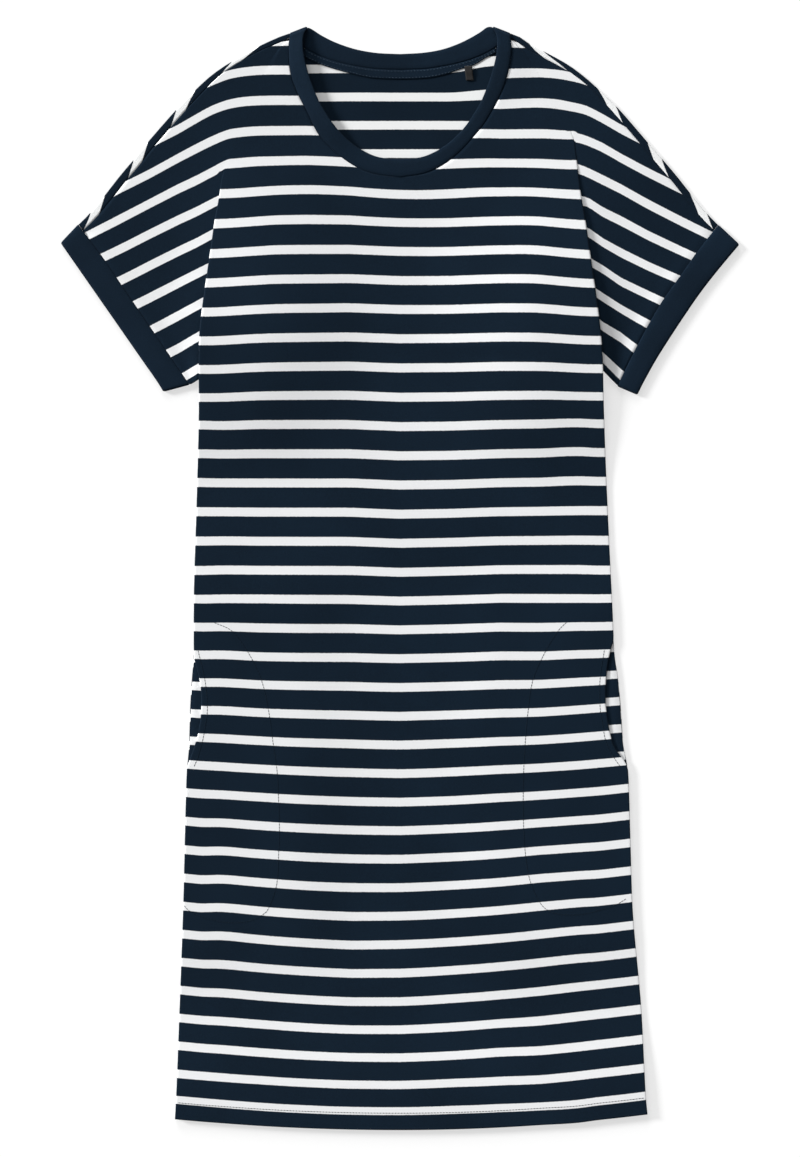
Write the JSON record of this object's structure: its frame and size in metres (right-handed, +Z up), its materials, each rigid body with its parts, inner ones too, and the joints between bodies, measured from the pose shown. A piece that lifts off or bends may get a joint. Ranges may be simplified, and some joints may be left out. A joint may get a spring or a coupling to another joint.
{
  "type": "nightshirt",
  "caption": "Knee-length striped jersey nightshirt laid flat, with sleeves cut in one, wide plain cuffs, a banded scoop neck, side seam pockets and a turned-up hem",
  "frame": {"origin": "Middle of the garment's outline, on the surface it lies on. The lowest point is at Z = 0.", "axes": "+Z up from the surface it lies on, with the front on top; +Y from the hem to the neck; +X towards the viewer's right when the front is looked at with the neck up. Left and right in node names are the viewer's."},
  "size_m": [0.6794, 1.1036, 0.0092],
  "materials": {
    "front": "soft cotton jersey, dark blue with white stripes across",
    "back": "soft cotton jersey, dark blue with white stripes across",
    "neckband": "plain dark blue jersey, doubled",
    "neck_tape": "plain dark blue tape, stitched along both edges",
    "neck_tab": "small dark woven tab, bare",
    "cuff_left": "plain dark blue jersey, doubled",
    "cuff_right": "plain dark blue jersey, doubled",
    "pocket_bag_left": "the same striped jersey, one layer",
    "pocket_bag_right": "the same striped jersey, one layer"
  },
  "bodies": {
    "root": {"front": "front", "back": "back", "neckband": "neckband", "neck_tape": "neck_tape", "neck_tab": "neck_tab", "cuff_left": "cuff_left", "cuff_right": "cuff_right", "pocket_bag_left": "pocket_bag_left", "pocket_bag_right": "pocket_bag_right"}
  },
  "joints": []
}
